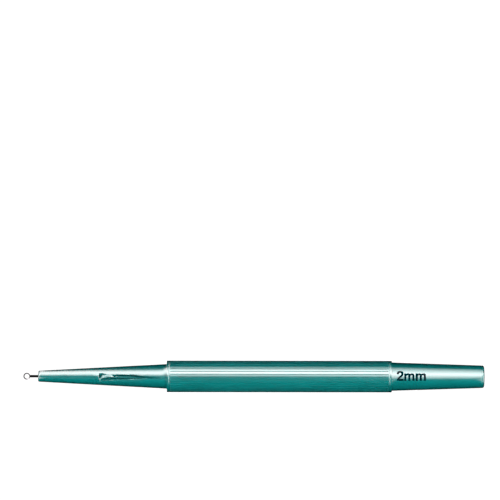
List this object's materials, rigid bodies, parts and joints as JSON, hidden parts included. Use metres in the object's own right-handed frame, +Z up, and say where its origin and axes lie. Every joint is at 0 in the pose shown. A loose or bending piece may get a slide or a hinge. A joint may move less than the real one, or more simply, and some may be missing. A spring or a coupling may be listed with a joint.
{
  "type": "dermal curette",
  "caption": "Disposable dermal curette: a small ring blade on a short steel shank in a slim, tapered plastic handle with a ribbed grip.",
  "frame": {"origin": "centre of the object's footprint, on the surface that the grip's ribs lie on", "axes": "+X along the handle from the ring blade to the rear end, +Z up, with the pointer mark and the ring blade's cutting edge facing +Z"},
  "size_m": [0.14, 0.0096, 0.0096],
  "materials": {
    "green_plastic": "glossy moulded plastic, blue-green",
    "ground_steel": "ground stainless strip"
  },
  "bodies": {
    "root": {"handle": "green_plastic", "ring_blade": "ground_steel"}
  },
  "joints": []
}
